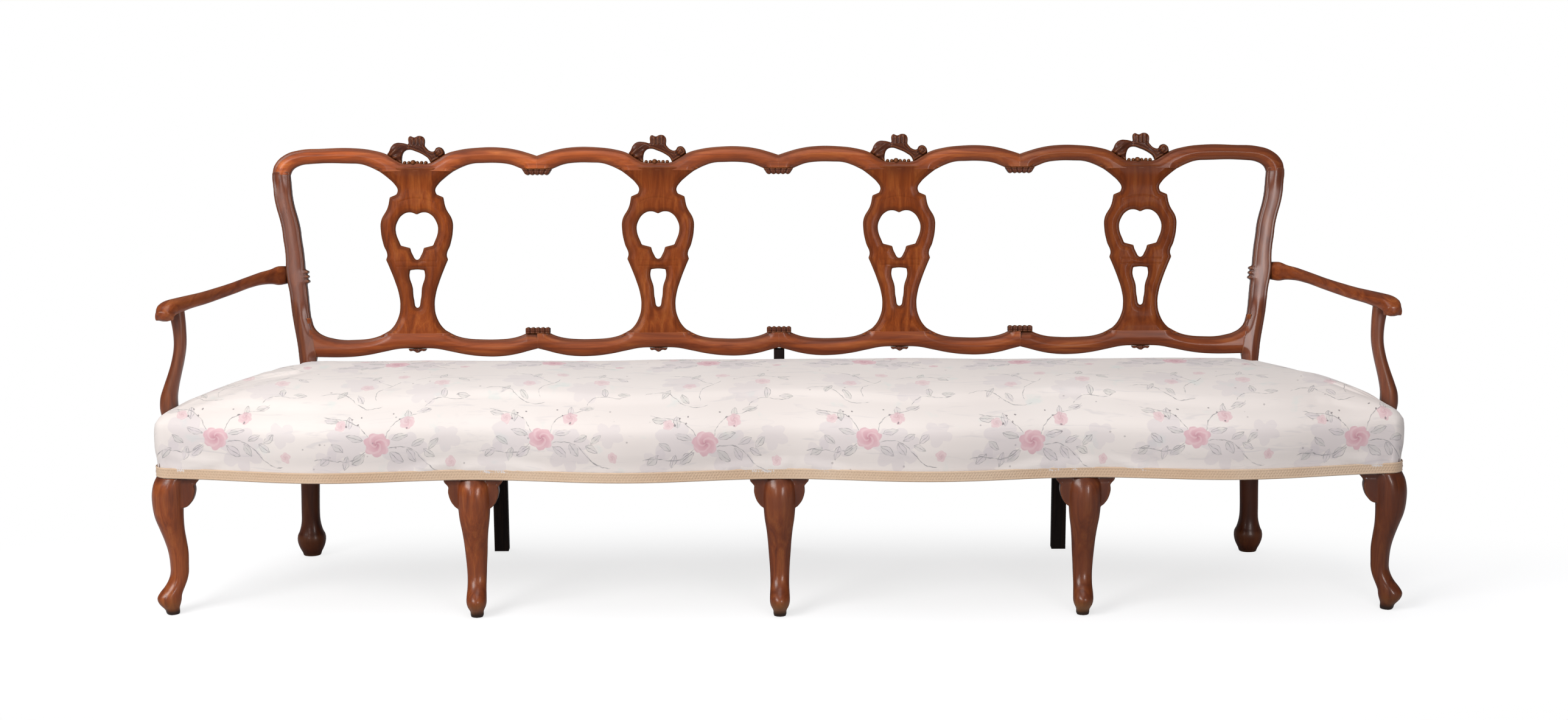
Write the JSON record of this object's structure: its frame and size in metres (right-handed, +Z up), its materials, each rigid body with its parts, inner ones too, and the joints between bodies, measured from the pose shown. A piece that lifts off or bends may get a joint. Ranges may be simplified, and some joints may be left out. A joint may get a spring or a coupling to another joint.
{
  "type": "chair-back settee",
  "caption": "Long chair-back settee with a carved, pierced wooden back, open scrolled arms, cabriole legs and a stuffed-over fabric seat.",
  "frame": {"origin": "middle of the footprint on the floor, under the middle of the overall box", "axes": "+X to the sitter's left, which is the right-hand side seen from the front; +Y towards the back; +Z up; the front faces -Y"},
  "size_m": [2.6316, 0.6385, 0.9459],
  "materials": {
    "walnut": "polished reddish-brown walnut",
    "dark_wood": "dark stained, dull",
    "frame_wood": "bare, unpolished",
    "seat_fabric": "ivory woven cover with a small floral",
    "braid": "beige gimp braid",
    "jute": "coarse jute weave",
    "stuffing": "curled hair under the cover"
  },
  "bodies": {
    "root": {"base_cloth": "jute", "bottom_clasp_1": "walnut", "bottom_clasp_2": "walnut", "bottom_clasp_3": "walnut", "bottom_rail_1": "walnut", "bottom_rail_2": "walnut", "bottom_rail_3": "walnut", "bottom_rail_4": "walnut", "centre_rear_stake": "dark_wood", "crest_1": "walnut", "crest_2": "walnut", "crest_3": "walnut", "crest_4": "walnut", "cross_rail_1": "frame_wood", "cross_rail_2": "frame_wood", "cross_rail_3": "frame_wood", "front_leg_1": "walnut", "front_leg_2": "walnut", "front_leg_3": "walnut", "front_leg_4": "walnut", "front_leg_5": "walnut", "front_seat_rail": "frame_wood", "gimp_braid": "braid", "left_arm": "walnut", "left_arm_support": "walnut", "left_back_post": "walnut", "left_front_block": "frame_wood", "left_rear_block": "frame_wood", "left_rear_stake": "dark_wood", "left_side_rail": "frame_wood", "rear_seat_rail": "frame_wood", "right_arm": "walnut", "right_arm_support": "walnut", "right_back_post": "walnut", "right_front_block": "frame_wood", "right_rear_block": "frame_wood", "right_rear_stake": "dark_wood", "right_side_rail": "frame_wood", "seat_cover": "seat_fabric", "seat_stuffing": "stuffing", "splat_1": "walnut", "splat_2": "walnut", "splat_3": "walnut", "splat_4": "walnut", "splat_drop_1": "walnut", "splat_drop_2": "walnut", "splat_drop_3": "walnut", "splat_drop_4": "walnut", "top_clasp_1": "walnut", "top_clasp_2": "walnut", "top_clasp_3": "walnut", "top_rail_1": "walnut", "top_rail_2": "walnut", "top_rail_3": "walnut", "top_rail_4": "walnut", "webbing": "jute"}
  },
  "joints": []
}
